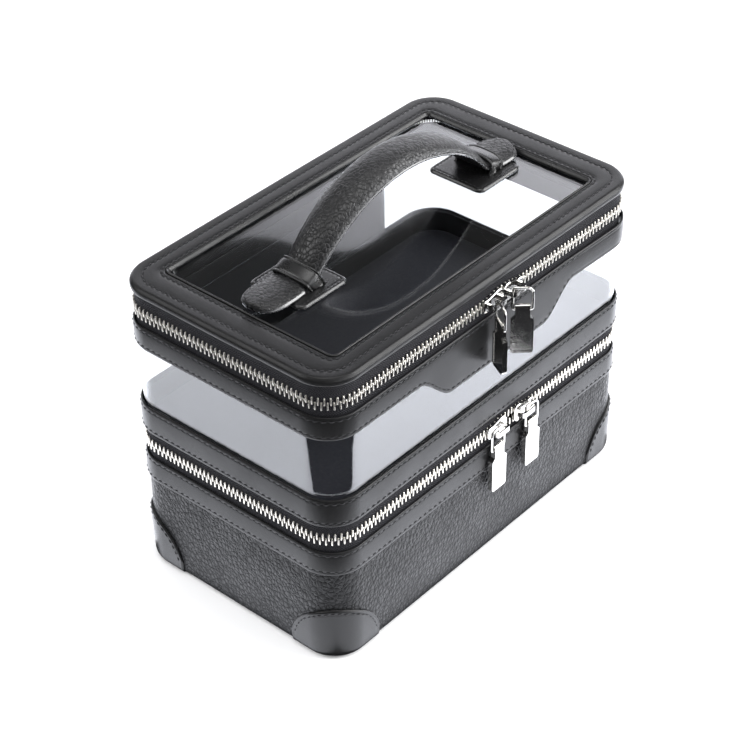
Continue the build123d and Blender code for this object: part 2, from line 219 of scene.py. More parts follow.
def zip_tape():
    """Herringbone twill: slanted ribs that change direction in narrow stripes along the tape."""
    look = Look("zip_tape")
    strip = look.node("ShaderNodeUVMap", uv_map="strip")
    parts = look.node("ShaderNodeSeparateXYZ", strip.outputs["UV"], 0)
    along, across = (look.math("MULTIPLY", part, 1000.0) for part in parts.outputs[:2])
    fold = look.math("PINGPONG", across, 2.1)
    rib = look.wave(look.math("ADD", along, look.math("MULTIPLY", fold, 1.1)), 1.35)
    weft, fuzz = look.wave(across, 0.32), look.noise(2600.0)
    colour = look.tint(look.ramp(rib, -1.0, 1.0, 0.0, 1.0), (0.001, 0.001, 0.0015), (0.034, 0.034, 0.04))
    heights = ((rib, 0.8), (weft, 0.16), (fuzz, 0.35))
    return look.finish(colour, look.ramp(fuzz, 0.2, 0.8, 0.6, 0.8), heights, 0.0002,
                       Specular_IOR_Level=0.08, Sheen_Weight=0.02, Sheen_Roughness=0.45)


def lining_cloth():
    """Plain woven lining: fine crossing threads with slubs."""
    look = Look("lining_cloth")
    parts = look.node("ShaderNodeSeparateXYZ", look.point, 0)
    waves = [look.wave(parts.outputs[axis], 0.00055) for axis in range(3)]
    weave = look.math("ADD", look.math("MULTIPLY", waves[0], waves[1]), waves[2])
    slub = look.noise(700.0, 4.0)
    colour = look.tint(slub, (0.003, 0.003, 0.007), (0.008, 0.008, 0.016))
    return look.finish(colour, look.ramp(slub, 0.2, 0.8, 0.7, 0.9), ((weave, 0.3), (slub, 0.8)), 0.00008,
                       Sheen_Weight=0.05)


def stiff_board():
    """Grey fibre board."""
    look = Look("stiff_board")
    fibre = look.noise(900.0, 6.0, 0.7)
    colour = look.tint(fibre, (0.10, 0.095, 0.085), (0.2, 0.19, 0.17))
    return look.finish(colour, look.ramp(fibre, 0.2, 0.8, 0.75, 0.95), ((fibre, 1.0),), 0.00012)


def thread():
    """Twisted sewing thread."""
    look = Look("thread")
    ply = look.node("ShaderNodeTexWave", look.point, wave_type="BANDS", bands_direction="DIAGONAL",
                    Scale=900.0, Distortion=1.0).outputs["Fac"]
    colour = look.tint(ply, (0.012, 0.012, 0.013), (0.055, 0.055, 0.06))
    return look.finish(colour, look.ramp(ply, 0.0, 1.0, 0.7, 0.5), ((ply, 1.0),), 0.00006,
                       Specular_IOR_Level=0.25)


def plated_metal(name, colour, rough, scratch):
    """Plated metal, lightly brushed by use."""
    look = Look(name)
    fine, broad = look.noise(1300.0, 4.0, 0.6), look.noise(240.0, 2.0)
    return look.finish(look.tint(broad, tuple(c * 0.88 for c in colour), colour),
                       look.ramp(fine, 0.25, 0.75, rough - 0.05, rough + 0.07),
                       ((fine, scratch), (broad, 1.0)), 0.00003, Metallic=1.0)


def clear_film():
    """Thin clear sheet: what is behind shows, and its two faces mirror the room by their angle."""
    look = Look("clear_film")
    through = look.node("ShaderNodeBsdfTransparent", Color=(0.93, 0.94, 0.95, 1))
    ripple = look.node("ShaderNodeBump", look.noise(15.0, 1.0), "Height", Strength=0.6, Distance=0.0004)
    mirror = look.node("ShaderNodeBsdfGlossy", ripple.outputs["Normal"], "Normal", Roughness=0.035,
                       Color=(1, 1, 1, 1))
    back = look.node("ShaderNodeNewGeometry").outputs["Backfacing"]
    angle = look.node("ShaderNodeFresnel", look.ramp(back, 0.0, 1.0, 1.5, 1 / 1.5), "IOR")
    mix = look.node("ShaderNodeMixShader", angle.outputs[0], 0)
    look.link(through.outputs[0], mix.inputs[1])
    look.link(mirror.outputs[0], mix.inputs[2])
    return look.surface(mix)


PEBBLE = pebbled_leather()
STRAP = pebbled_leather("strap_leather", 0.45, 0.0003)
SMOOTH = smooth_leather()
GLOSSY = smooth_leather("glossy_leather", 0.007, 0.27, 0.5)
BEAD = smooth_leather("bead_leather", 0.008, 0.3, 0.35)
EDGE = edge_paint()
TAPE = zip_tape()
LINING = lining_cloth()
BOARD = stiff_board()
THREAD = thread()
TEETH = plated_metal("zip_teeth", (0.74, 0.71, 0.65), 0.36, 2.0)
METAL = plated_metal("bright_metal", (0.58, 0.57, 0.55), 0.1, 1.0)
FILM = clear_film()


# Mesh tools

def piece(name, verts, faces, mat, body, *hides, uvs=None):
    """A smooth mesh from millimetres, on its body and the CAD nodes it stands for."""
    mesh = bpy.data.meshes.new(name)
    mesh.from_pydata((np.asarray(verts, float).reshape(-1, 3) * MM).tolist(), [], faces)
    mesh.validate()
    mesh.shade_smooth()
    mesh.materials.append(mat)
    if uvs is not None:
        layer = mesh.uv_layers.new(name="strip")
        corners = [loop.vertex_index for loop in mesh.loops]
        layer.data.foreach_set("uv", (np.asarray(uvs, float)[corners] * MM).ravel())
    obj = placed(name, mesh)
    if body:
        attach(obj, body)
    if hides:
        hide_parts(*hides)
    return obj


def sweep_faces(rings, points, loop, closed_section=True):
    """Quads between neighbouring rings of points, with end caps where the path is open."""
    faces = []
    for i in range(rings if loop else rings - 1):
        a, b = i * points, ((i + 1) % rings) * points
        for j in range(points if closed_section else points - 1):
            k = (j + 1) % points
            faces.append((a + j, a + k, b + k, b + j))
    if not loop and closed_section:
        faces.append(tuple(range(points))[::-1])
        faces.append(tuple((rings - 1) * points + j for j in range(points)))
    return faces


def capped_faces(rings, points):
    """A closed ring of open sections, with a flat face across its first points and one across its last."""
    first = tuple(i * points for i in range(rings))
    last = tuple(i * points + points - 1 for i in range(rings))[::-1]
    return sweep_faces(rings, points, True, closed_section=False) + [first, last]


def slab_faces(n, m):
    """A thin slab from two grids of n by m points, the outer one first."""
    faces, s = [], n * m
    for i in range(n - 1):
        for j in range(m - 1):
            a = i * m + j
            faces += [(a, a + m, a + m + 1, a + 1), (s + a, s + a + 1, s + a + m + 1, s + a + m)]
    rims = [(i * m, (i + 1) * m) for i in range(n - 1)]
    rims += [((i + 2) * m - 1, (i + 1) * m - 1) for i in range(n - 1)]
    rims += [(j + 1, j) for j in range(m - 1)]
    rims += [((n - 1) * m + j, (n - 1) * m + j + 1) for j in range(m - 1)]
    return faces + [(a, s + a, s + b, b) for a, b in rims]


def turned(faces):
    return [face[::-1] for face in faces]


def flipped(faces):
    """Faces turned over, each from the same first corner."""
    return [face[:1] + face[:0:-1] for face in faces]


def copies(faces, size, count):
    """The faces of many copies of one small mesh, one after the other."""
    return [tuple(number * size + i for i in face) for number in range(count) for face in faces]


def swept(points, normals, inset, high):
    """The grid of points at each inset and height round an outline."""
    grid = np.zeros((len(points), np.shape(inset)[-1], 3))
    grid[:, :, :2] = points[:, None] - normals[:, None] * np.asarray(inset)[..., None]
    grid[:, :, 2] = high
    return grid


def stacked(rings):
    """A grid from rings of points, each at its own height."""
    return np.stack([np.c_[ring, np.full(len(ring), z)] for ring, z in rings], 1)


def runs_of(path):
    """The distance along a path at each of its points."""
    return np.r_[0, np.cumsum(np.linalg.norm(np.diff(path, axis=0), axis=1))]


def unit(rows):
    return rows / np.linalg.norm(rows, axis=1)[:, None]


def read_at(at, steps, values):
    """Rows of values given at steps, read at other places."""
    return np.stack([np.interp(at, steps, column) for column in values.T], 1)


def plan(half_x, half_y, radius, step, corner_step):
    """Points round a rounded rectangle, clockwise from the middle of the back, with normals and runs."""
    points, normals = [], []

    def straight(a, b, normal):
        count = max(1, int(math.dist(a, b) / step))
        for i in range(count):
            t = i / count
            points.append((a[0] + (b[0] - a[0]) * t, a[1] + (b[1] - a[1]) * t))
            normals.append(normal)

    def corner(centre, start):
        count = max(3, int(radius * math.pi / 2 / corner_step))
        for i in range(count):
            turn = math.radians(start - 90 * i / count)
            way = (math.cos(turn), math.sin(turn))
            points.append((centre[0] + radius * way[0], centre[1] + radius * way[1]))
            normals.append(way)

    x, y = half_x - radius, half_y - radius
    straight((0, half_y), (x, half_y), (0, 1))
    corner((x, y), 90)
    straight((half_x, y), (half_x, -y), (1, 0))
    corner((x, -y), 0)
    straight((x, -half_y), (-x, -half_y), (0, -1))
    corner((-x, -y), -90)
    straight((-half_x, -y), (-half_x, y), (-1, 0))
    corner((-x, y), 180)
    straight((-x, half_y), (0, half_y), (0, 1))
    points = np.array(points)
    return points, np.array(normals), runs_of(points)


OUTLINE_STEP = 2.0
OUTLINE = plan(LENGTH / 2, WIDTH / 2, CORNER, OUTLINE_STEP, 1.2)
WHOLE_RUN = OUTLINE[2][-1] + OUTLINE_STEP


def open_outline(half):
    """The outline without the middle of its back, from one side of that gap to the other."""
    points, normals, runs = OUTLINE
    keep = (points[:, 1] <= WIDTH / 2 - 1e-6) | (np.abs(points[:, 0]) >= half - 0.5)
    points = np.r_[[[half, WIDTH / 2]], points[keep], [[-half, WIDTH / 2]]]
    normals = np.r_[[[0, 1]], normals[keep], [[0, 1]]]
    return points, normals, np.r_[half, runs[keep], WHOLE_RUN - half]


def soft_wave(run, seed, size, amount):
    """A smooth, seamless wander along a closed run."""
    way = np.zeros_like(run)
    draw = np.random.default_rng(seed)
    for k in range(1, 7):
        turns = max(1, round(WHOLE_RUN / size * k / 3))
        way += draw.normal() / k * np.sin(2 * math.pi * turns * run / WHOLE_RUN + draw.uniform(0, 6.28))
    return amount * way


def lie_of(points):
    """0 on the straight sides and 1 at the middle of each corner."""
    x = np.clip((np.abs(points[:, 0]) - (LENGTH / 2 - CORNER * 1.5)) / CORNER, 0, 1)
    y = np.clip((np.abs(points[:, 1]) - (WIDTH / 2 - CORNER * 1.5)) / CORNER, 0, 1)
    return x * y


def on_front(points):
    return points[:, 1] < -WIDTH / 2 + 1e-6


def wrap(name, section, mat, body, *hides, half_open=None, shape=None):
    """A closed section of (inset, height) swept round the bag, or round all but the middle of its back."""
    points, normals, runs = OUTLINE if half_open is None else open_outline(half_open)
    section = np.array(section, float)
    inset, high = (np.repeat(column[None], len(points), 0) for column in section.T)
    if shape:
        inset, high = shape(points, runs, inset, high)
    grid = swept(points, normals, inset, high)
    uvs = np.stack(np.meshgrid(runs, runs_of(section), indexing="ij"), 2).reshape(-1, 2)
    faces = sweep_faces(*grid.shape[:2], half_open is None)
    return piece(name, grid, faces, mat, body, *hides, uvs=uvs)


def band_section(low, high, groove=0.1, crown=0.3, thick=1.0):
    """A leather band's section: rounded edges, a low crown and a pressed groove under each stitch line."""
    tall = high - low
    edge = [(0.0, 0.5), (0.12, 0.2), (0.4, 0.03)]
    spots = [0.8, 1.3] + [SEAM + d for d in (-0.45, -0.2, 0, 0.2, 0.45, 1.2, 2.4)]
    count = max(1, int((tall - 2 * SEAM - 4.8) / 1.6))
    middle = list(np.linspace(SEAM + 2.4, tall - SEAM - 2.4, count + 1))[1:-1]
    outer = [(dent, low + up) for up, dent in edge]
    for up in spots + middle + [tall - s for s in reversed(spots)]:
        rise = crown * math.sin(math.pi * min(1, max(0, up / tall))) ** 0.8
        near = min(abs(up - SEAM), abs(up - tall + SEAM))
        outer.append((groove * math.exp(-(near / 0.28) ** 2) - rise, low + up))
    outer += [(dent, high - up) for up, dent in reversed(edge)]
    return outer + [(thick, high - 0.3), (thick, low + 0.3)]


def stops(path, pitch, margin=0.0, even=False):
    """Runs along a path at a pitch, or evenly spread over it at about that pitch."""
    total = runs_of(path)[-1]
    if even:
        return np.linspace(0, total, int(total / pitch), endpoint=False)
    return np.arange(margin, total - margin, pitch)


def spots_on(path, at, ahead=0.4, closed=True):
    """The places at some runs along a path, and the ways it heads there."""
    steps = runs_of(path)
    spots = read_at(at, steps, path)
    further = (at + ahead) % steps[-1] if closed else at + ahead
    return spots, unit(read_at(further, steps, path) - spots)


def around(inset, height, pitch=BAND_PITCH, fall=None):
    """Spots, headings and normals at an even pitch round the bag, for stitches."""
    points, normals, _ = OUTLINE
    z = np.full(len(points), float(height))
    if fall is not None:
        z = np.where(on_front(points), z - fall(points[:, 0]), z)
    path = np.c_[points - normals * inset, z]
    path = np.r_[path, path[:1]]
    at = stops(path, pitch, even=True)
    face = unit(read_at(at, runs_of(path), np.r_[normals, normals[:1]]))
    return *spots_on(path, at, 0.5), np.c_[face, np.zeros(len(face))]


def stitches(name, spots, headings, normals, body, length=2.7, wide=0.62):
    """Threads that dip into the leather at both ends, one at each spot."""
    ring, cuts = 6, 5
    t = np.linspace(-1, 1, cuts)[:, None]
    turn = 2 * math.pi * np.arange(ring) / ring
    fat = wide / 2 * np.sqrt(np.maximum(0.06, 1 - t * t * 0.95))
    local = np.stack([t * length / 2 + 0 * turn, t * 0.12 + fat * np.cos(turn),
                      0.34 * (1 - t * t) - 0.02 + fat * np.sin(turn) * 0.8], 2).reshape(-1, 3)
    spots, headings = np.asarray(spots, float), np.asarray(headings, float)
    normals = np.broadcast_to(np.asarray(normals, float), spots.shape)
    axes = np.stack([headings, np.cross(normals, headings), normals], 1)
    verts = spots[:, None] + np.einsum("pa,nax->npx", local, axes)
    faces = copies(flipped(sweep_faces(cuts, ring, False)), len(local), len(spots))
    return piece(name, verts, faces, THREAD, body)


def band_stitches(name, band, body, high=0.3, low=0.3, fall=None):
    """The two stitch lines of a band, each a little proud of the bag's outline."""
    stitches(f"{name}_stitches_low", *around(-low, band[0] + SEAM, fall=fall), body)
    stitches(f"{name}_stitches_high", *around(-high, band[1] - SEAM), body)

# Base

def bulge_out(high, lie):
    """How far the soft wall stands out at a height, less at the corners."""
    up = np.clip((high - BULGE_LOW) / BULGE_TALL, 0, 1)
    return BULGE * np.sin(np.pi * up) * (1 - 0.55 * lie)


def base_shell():
    """Wall, rounded bottom edge and the start of the flat bottom, inside and out."""
    inset, thick, radius, top, flat = 1.1, 1.4, 4.5, 65, 15.5
    outer = [(inset + 0.35, top), (inset, top - 0.4)]
    outer += [(inset, z) for z in np.linspace(top - 3, radius + 0.6, 22)]
    outer += [(inset + radius * (1 - math.cos(a)), radius * (1 - math.sin(a)))
              for a in np.linspace(0, math.pi / 2, 9)]
    dent, high = np.array(outer + [(flat, 0.0)])[::-1].T
    inner = np.array([(inset + thick, top), (inset + thick, 30), (inset + thick, radius),
                      (inset + radius, thick), (flat, thick)])
    points, normals, runs = OUTLINE
    wander = soft_wave(runs, 3, 120, 0.16)[:, None]
    wander = wander * np.sin(np.pi * np.clip((high - BULGE_LOW) / BULGE_TALL, 0, 1))
    wall = swept(points, normals, dent - bulge_out(high, lie_of(points)[:, None]) - wander, high)
    grid = np.concatenate([wall, swept(points, normals, *inner.T)], 1)
    piece("base_leather", grid, capped_faces(*grid.shape[:2]), PEBBLE, "base", "base_shell")


def guard_top(points):
    """The height of a corner patch's edge at each place round the bag."""
    high = np.full(len(points), GUARD_TOPS[0])
    for half, axis in ((LENGTH / 2, 0), (WIDTH / 2, 1)):
        high = np.minimum(high, np.interp(half - np.abs(points[:, axis]), GUARD_SPOTS, GUARD_TOPS))
    return high


def corner_guard(label, x_side, y_side):
    """A patch over a bottom corner, thickest inside its edge, with its rim turned down to the wall."""
    points, normals, _ = plan(LENGTH / 2, WIDTH / 2, CORNER, 0.8, 0.8)
    reach = GUARD_SPOTS[-1] + 0.01
    near = (LENGTH / 2 - points[:, 0] * x_side < reach) & (WIDTH / 2 - points[:, 1] * y_side < reach)
    points, normals = points[near], normals[near]
    tops, lie, runs = guard_top(points), lie_of(points), runs_of(points)[:, None]
    wall = tops[:, None] - GUARD_ROUND
    down = (wall + GUARD_TURN) * np.linspace(0, 1, GUARD_ROWS)
    turn = np.maximum(down - wall, 0) / GUARD_ROUND
    inset = GUARD_INSET + GUARD_ROUND * (1 - np.cos(turn))
    z = np.where(down < wall, tops[:, None] - down, GUARD_ROUND * (1 - np.sin(turn)))
    border = np.minimum(np.minimum(down, wall + GUARD_TURN - down + 0.25), np.minimum(runs, runs[-1] - runs))
    lift = 1.05 * np.sqrt(np.maximum(0, 1 - (1 - np.minimum(border / 0.9, 1)) ** 2))
    lift -= 0.2 * np.exp(-((border - SEAM) / 0.3) ** 2)
    inset = inset - bulge_out(z, lie[:, None])
    grids = [swept(points, normals, inset - out, np.maximum(z, 0.35)) for out in (lift, -0.05)]
    faces = slab_faces(len(points), GUARD_ROWS)
    piece(f"guard_{label}", grids, faces, SMOOTH, "base", f"corner_guard_{label}")
    edge = np.c_[points, tops]
    at = stops(edge, BAND_PITCH, 3.0)
    i = np.clip(np.searchsorted(runs_of(edge), at), 1, len(edge) - 1)
    spots, ways = read_at(at, runs_of(edge), edge), unit(edge[i] - edge[i - 1])
    outs = np.c_[normals[i], np.zeros(len(i))]
    inward = np.cross(ways, outs)
    level = np.abs(inward[:, 2]) < 0.3
    inward[(inward[:, 2] > 0) | (level & (inward[:, :2] @ (x_side, y_side) < 0))] *= -1
    rise = bulge_out(spots[:, 2] - 2, lie[i]) - 0.02
    stitches(f"guard_{label}_stitches", spots + inward * SEAM + outs * rise[:, None], ways, outs, "base")


def rounded_ring(name, inset, thick, low, high, *hides):
    """A plain leather strip all round with softly rounded edges."""
    r = min(thick / 2, 0.35)
    heights = np.linspace(low + r, high - r, max(2, int((high - low) / 3)))
    outer = [(inset + r * 0.3, low)] + [(inset, z) for z in heights] + [(inset + r * 0.3, high)]
    inner = [(2 * inset + thick - i, z) for i, z in reversed(outer)]
    wrap(name, outer + inner, SMOOTH, "tier", *hides)


def capped_ring(name, section, body, *hides):
    """Cloth in the bag's outline: a section swept round it, and a flat face across each of its ends."""
    points, normals, _ = OUTLINE
    grid = swept(points, normals, *np.array(section, float).T)
    piece(name, grid, capped_faces(*grid.shape[:2]), LINING, body, *hides)


def filled_sheet(name, inset, low, high, *hides):
    """A sheet of cloth in the bag's outline with a rounded rim."""
    r = (high - low) / 2
    section = [(inset + 6, low), (inset + r, low), (inset, low + r), (inset + r, high), (inset + 6, high)]
    capped_ring(name, section, "tier", *hides)


def base():
    base_shell()
    for y_side, y_label in FACES:
        for x_side, x_label in ENDS:
            corner_guard(f"{y_label}_{x_label}", x_side, y_side)

    def follow(points, runs, inset, high):
        swell = 0.3 * np.clip((BASE_HIGH - high) / (BASE_HIGH - RIM_LOW), 0, 1)
        return inset - swell, high + soft_wave(runs, 5, 150, 0.05)[:, None]

    wrap("rim_band", band_section(RIM_LOW, BASE_HIGH), SMOOTH, "base", "base_rim_band", shape=follow)
    band_stitches("rim_band", (RIM_LOW, BASE_HIGH), "base", high=0.0, low=0.25)
    tray = [(16, 3.65), (4.7, 3.65), (3.2, 5.4), (3.2, 20), (3.2, 45), (3.2, BASE_HIGH),
            (2.6, BASE_HIGH), (2.6, 5.2), (4.4, 3.05), (16, 3.05)]
    capped_ring("base_inner_cloth", tray, "base", "base_lining")


# Zips

def parting(x, sliders):
    """How far a row stands off between its two sliders."""
    near = np.minimum(x - sliders[0], sliders[1] - x)
    return ROW_SPREAD * np.clip((near - RAMP[0]) / (RAMP[1] - RAMP[0]), 0, 1)


def tape(name, zip_z, far, up, sliders, body, *hides):
    """Twill tape from its edge inside the teeth to behind the leather."""
    edge = zip_z + up * 1.0
    reach = far - edge
    across = np.r_[0, 0.15, 0.5, 1.2, np.linspace(2.0, abs(reach), 7)] * np.sign(reach)
    section = [(TAPE_OUT, edge + a) for a in across] + [(TAPE_IN, edge + a) for a in across[::-1]]

    def shape(points, runs, inset, high):
        spread = np.where(on_front(points), parting(points[:, 0], sliders), 0)[:, None]
        near = np.clip(1 - np.abs(high - edge) / 4.5, 0, 1)
        hollow = 0.18 * np.sin(np.pi * np.clip(np.abs(high - edge) / abs(reach), 0, 1))
        return inset + hollow, high + up * spread * near

    wrap(name, section[::up], TAPE, body, *hides, half_open=ZIP_END, shape=shape)


def tooth_shape():
    """One tooth: a clamp with rounded ends and, at -Z, a narrower nose that meets the other row."""
    w, d = 0.43, 1.15
    rings = [
        (-0.9, 0.26, 0.62), (-0.8, 0.36, 0.86), (-0.35, 0.40, 1.05), (0.1, w - 0.03, d - 0.06),
        (0.6, w, d), (2.9, w, d), (3.3, w - 0.04, d - 0.08), (3.55, w - 0.18, d - 0.3),
    ]
    verts = []
    for z, a, b in rings:
        c = min(a, b) * 0.42
        verts += [(x, max(y, -0.16), z) for x, y in ((a, b - c), (a - c, b), (c - a, b), (-a, b - c),
                                                     (-a, c - b), (c - a, -b), (a - c, -b), (a, c - b))]
    return np.array(verts), sweep_faces(len(rings), 8, False)


def teeth(name, zip_z, up, sliders, body, *hides):
    """A row of teeth on its tape, half a pitch from the other row, each a little askew."""
    shape, faces = tooth_shape()
    half_y = WIDTH / 2 - CHAIN_INSET
    points, normals, _ = plan(LENGTH / 2 - CHAIN_INSET, half_y, CORNER - CHAIN_INSET, 0.5, 0.25)
    keep = (points[:, 1] <= half_y - 1e-6) | (np.abs(points[:, 0]) >= ZIP_END)
    path = np.r_[[[ZIP_END, half_y]], points[keep], [[-ZIP_END, half_y]]]
    outs = np.r_[[[0, 1]], normals[keep], [[0, 1]]]
    steps = runs_of(path)
    count = int((steps[-1] - PITCH) / PITCH)
    at = PITCH * (0.5 + up / 4) + np.arange(count) * PITCH
    x, y = read_at(at, steps, path).T[..., None]
    out_x, out_y = unit(read_at(at, steps, outs)).T[..., None]
    spread = np.where(y < -half_y + 1e-3, parting(x, sliders), 0)
    lean = np.random.default_rng(11 + up).normal(size=(count, 1)) * 0.02
    along = shape[:, 0] + shape[:, 2] * lean
    verts = np.stack([x + along * out_y + shape[:, 1] * out_x, y - along * out_x + shape[:, 1] * out_y,
                      zip_z + up * (spread + shape[:, 2])], 2)
    faces = copies(faces if up < 0 else turned(faces), len(shape), count)
    piece(name, verts, faces, TEETH, body, *hides)


def zips():
    """Both zips, each with a lower and an upper half, by the far edge of the tape and the body it rides."""
    halves = []
    for zip_name, zip_z, sliders, far, bodies in (
            ("lower", LOWER_ZIP, LOWER_SLIDERS, (66, 93.5), ("base", "tier")),
            ("upper", UPPER_ZIP, UPPER_SLIDERS, (149, 173.5), ("tier", "lid"))):
        for i, (up, row, half) in enumerate(((-1, "low", "lower"), (1, "high", "upper"))):
            name, node = f"{zip_name}_{row}", f"{zip_name}_zip_{half}"
            halves.append((name, zip_z, far[i], up, sliders, bodies[i], node))
    for name, zip_z, far, up, sliders, body, node in halves:
        tape(f"tape_{name}", zip_z, far, up, sliders, body, f"{node}_tape")
    for name, zip_z, _, up, sliders, body, node in halves:
        teeth(f"teeth_{name}", zip_z, up, sliders, body, f"{node}_teeth")


# Tier

def back_strip(name, inset, thick, half, low, high, *hides, bulge=0.0, blend=None):
    """A leather strip round the middle of the back wall."""
    x = np.linspace(-half, half, int(half / 1.5))[:, None]
    z = np.linspace(low, high, max(6, int((high - low) / 0.9)))
    r = min(0.3, thick / 2)
    border = np.minimum(half - np.abs(x), np.minimum(z - low, high - z))
    swell = bulge * np.sin(np.pi * (z - low) / (high - low)) * np.minimum(1, (half - np.abs(x)) / 20)
    soft = r * (1 - np.minimum(1, border / r)) ** 2
    outs = np.stack([inset - swell + soft, inset + thick - swell - soft])
    verts = np.stack(np.broadcast_arrays(x, WIDTH / 2 - outs, z), 3)
    faces = flipped(slab_faces(len(x), len(z)))
    obj = piece(name, verts, faces, SMOOTH, None if blend else "tier", *hides)
    if blend:
        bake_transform(obj)


def flap_low(x):
    """How far the upper band's lower edge hangs down on the front."""
    t = np.clip(1 - (np.abs(x - FLAP_CENTRE) - FLAP_FLAT / 2) / FLAP_SHOULDER, 0, 1)
    return FLAP_DROP * t * t * (3 - 2 * t)


def tier():
    def lower_shape(points, runs, inset, high):
        return inset - 0.25, high + soft_wave(runs, 8, 170, 0.06)[:, None]

    def upper_shape(points, runs, inset, high):
        low, top = BAND_1
        fall = np.where(on_front(points), flap_low(points[:, 0]), 0)[:, None]
        share = np.clip((top - 4 - high) / (top - low - 8), 0, 1)
        right = np.clip((points[:, 0] - 60) / 60, 0, 1) * np.clip((-points[:, 1] - 10) / 60, 0, 1)
        puff = (0.25 + 1.6 * right * (1 - 0.3 * lie_of(points)))[:, None]
        return inset - puff, high - fall * share + soft_wave(runs, 9, 170, 0.05)[:, None]

    def film_wave(points, runs, inset, high):
        up = np.clip((high - BAND_2[1]) / (BAND_1[0] - BAND_2[1]), 0, 1)
        tuck = 0.5 * np.exp(-np.clip(high - BAND_2[1], 0, None) / 0.8)
        return inset + tuck + 0.5 * np.sin(np.pi * up) * (0.5 + soft_wave(runs, 12, 150, 0.3)[:, None]), high

    wrap("band_lower", band_section(*BAND_2), SMOOTH, "tier", "lower_band", shape=lower_shape)
    band_stitches("band_lower", BAND_2, "tier")
    wrap("band_upper", band_section(*BAND_1), SMOOTH, "tier", "upper_band", shape=upper_shape)
    band_stitches("band_upper", BAND_1, "tier", fall=flap_low)
    high = [94.5, 100, 103, 104, 104.5, 105, 105.5, 106, 106.7, 107.5, 108.5, 110, 112, 115, 120, 126, 132,
            138, 143, 148]
    sheet = [(TAPE_OUT, z) for z in high] + [(TAPE_IN, z) for z in reversed(high)]
    wrap("wall_film", sheet, FILM, "tier", "clear_wall", shape=film_wave)
    rounded_ring("band_lower_backing", 1.8, 0.8, 88.2, 103.4, "lower_band_strip")
    rounded_ring("band_upper_backing", 1.8, 0.8, 142.1, 153.4, "upper_band_strip")
    filled_sheet("floor_under_cloth", 2.7, 88.12, 88.68, "tier_floor_cloth")
    filled_sheet("floor_top_cloth", 2.7, 90.32, 90.88, "tier_floor_lining")
    back_strip("back_leather", 0.02, 0.96, 80.4, 104.65, 140.85, "back_panel", bulge=0.5)
    back_strip("hinge_leather_lower", 1.12, 0.56, 81.6, 66.1, 93.4, "lower_hinge_strip",
               blend=("base", "tier", 74.5, 84.5))
    back_strip("hinge_leather_upper", 1.12, 0.56, 81.6, 149.1, 173.4, "upper_hinge_strip",
               blend=("tier", "lid", 157, 167))


# Lid

def window_edge():
    """The window's edge with one point for each point of the outline."""
    points, normals, _ = OUTLINE
    outer = np.array([LENGTH / 2, WIDTH / 2]) - CORNER
    inner = np.array([LENGTH / 2 - BORDER_X, WIDTH / 2 - BORDER_Y]) - WINDOW_CORNER
    return (points - normals * CORNER) / outer * inner + normals * WINDOW_CORNER


def lid_leather():
    """The window's leather border: a rolled outer edge, a seam inside it, a flat and a turned inner edge."""
    points, normals, runs = OUTLINE
    edge, start, deep = window_edge(), points - normals * 7.0, points - normals * 1.0
    roll = [(1.0, 172.6), (0.1, 172.6), (-0.25, 172.8), (-0.4, 173.3), (-0.45, 174.0), (-0.44, 174.8),
            (-0.36, 175.3), (-0.15, 175.65), (0.25, 176.1), (0.65, 176.52), (0.95, 176.82), (1.4, 177.0),
            (2.2, 177.05), (3.6, 177.0), (5.2, 176.97), (5.7, 176.9), (6.1, 176.76), (6.5, 176.88),
            (7.0, 176.95)]
    flat = [(0.2, 177), (0.4, 177), (0.58, 176.95), (0.68, 176.85), (0.74, 176.7), (0.78, 176.62),
            (0.82, 176.7), (0.88, 176.85), (0.95, 176.7), (0.99, 176.3), (1.0, 175.6), (1.0, 174.75)]
    rings = [(points - normals * inset, z) for inset, z in roll]
    rings += [(start * (1 - t) + edge * t, z) for t, z in flat]
    grid = stacked(rings + [(deep * 0.05 + edge * 0.95, 174.65), (deep, 174.65)])
    grid[:, :, 2] += soft_wave(runs, 14, 160, 0.07)[:, None]
    piece("lid_border", grid, turned(sweep_faces(*grid.shape[:2], True)), SMOOTH, "lid", "lid_frame")
    stitches("lid_stitches_outer", *around(6.1, 176.86, LID_PITCH)[:2], UP, "lid")
    path = stacked([(start * 0.22 + edge * 0.78, 176.72)])[:, 0]
    path = np.r_[path, path[:1]]
    stitches("lid_stitches_inner", *spots_on(path, stops(path, LID_PITCH)), UP, "lid")


def window_bead():
    """The rolled edge inside the window's border."""
    points, normals, _ = plan(LENGTH / 2 - BORDER_X, WIDTH / 2 - BORDER_Y, WINDOW_CORNER, OUTLINE_STEP, 0.4)
    section = np.array([(0.2, 174.7), (0.0, 176.6), (0.2, 177.1), (0.6, 177.35), (0.9, 177.2), (1.25, 176.8),
                        (1.6, 176.38), (1.95, 175.95), (2.15, 175.5), (2.1, 174.7)])
    grid = swept(points, normals, *section.T)
    piece("window_roll", grid, turned(sweep_faces(*grid.shape[:2], True)), BEAD, "lid", "window_bead")


def window_sheet():
    """The clear film, a little uneven as it is stretched over the opening."""
    half_x, half_y, columns, rows = 105.8, 60.8, 90, 54
    x, y = np.linspace(-half_x, half_x, columns)[:, None], np.linspace(-half_y, half_y, rows)
    free = np.maximum(0, 1 - (x / 100) ** 4) * np.maximum(0, 1 - (y / 55) ** 4)
    sag = np.minimum(0, 0.08 * free * (np.sin(x / 31 + 1.2) * np.cos(y / 23 + x / 90) - 0.4))
    verts = np.stack(np.broadcast_arrays(x, y, np.stack([FILM_TOP + sag, FILM_LOW + sag])), 3)
    piece("window_sheet", verts, slab_faces(columns, rows), FILM, "lid", "window_film")


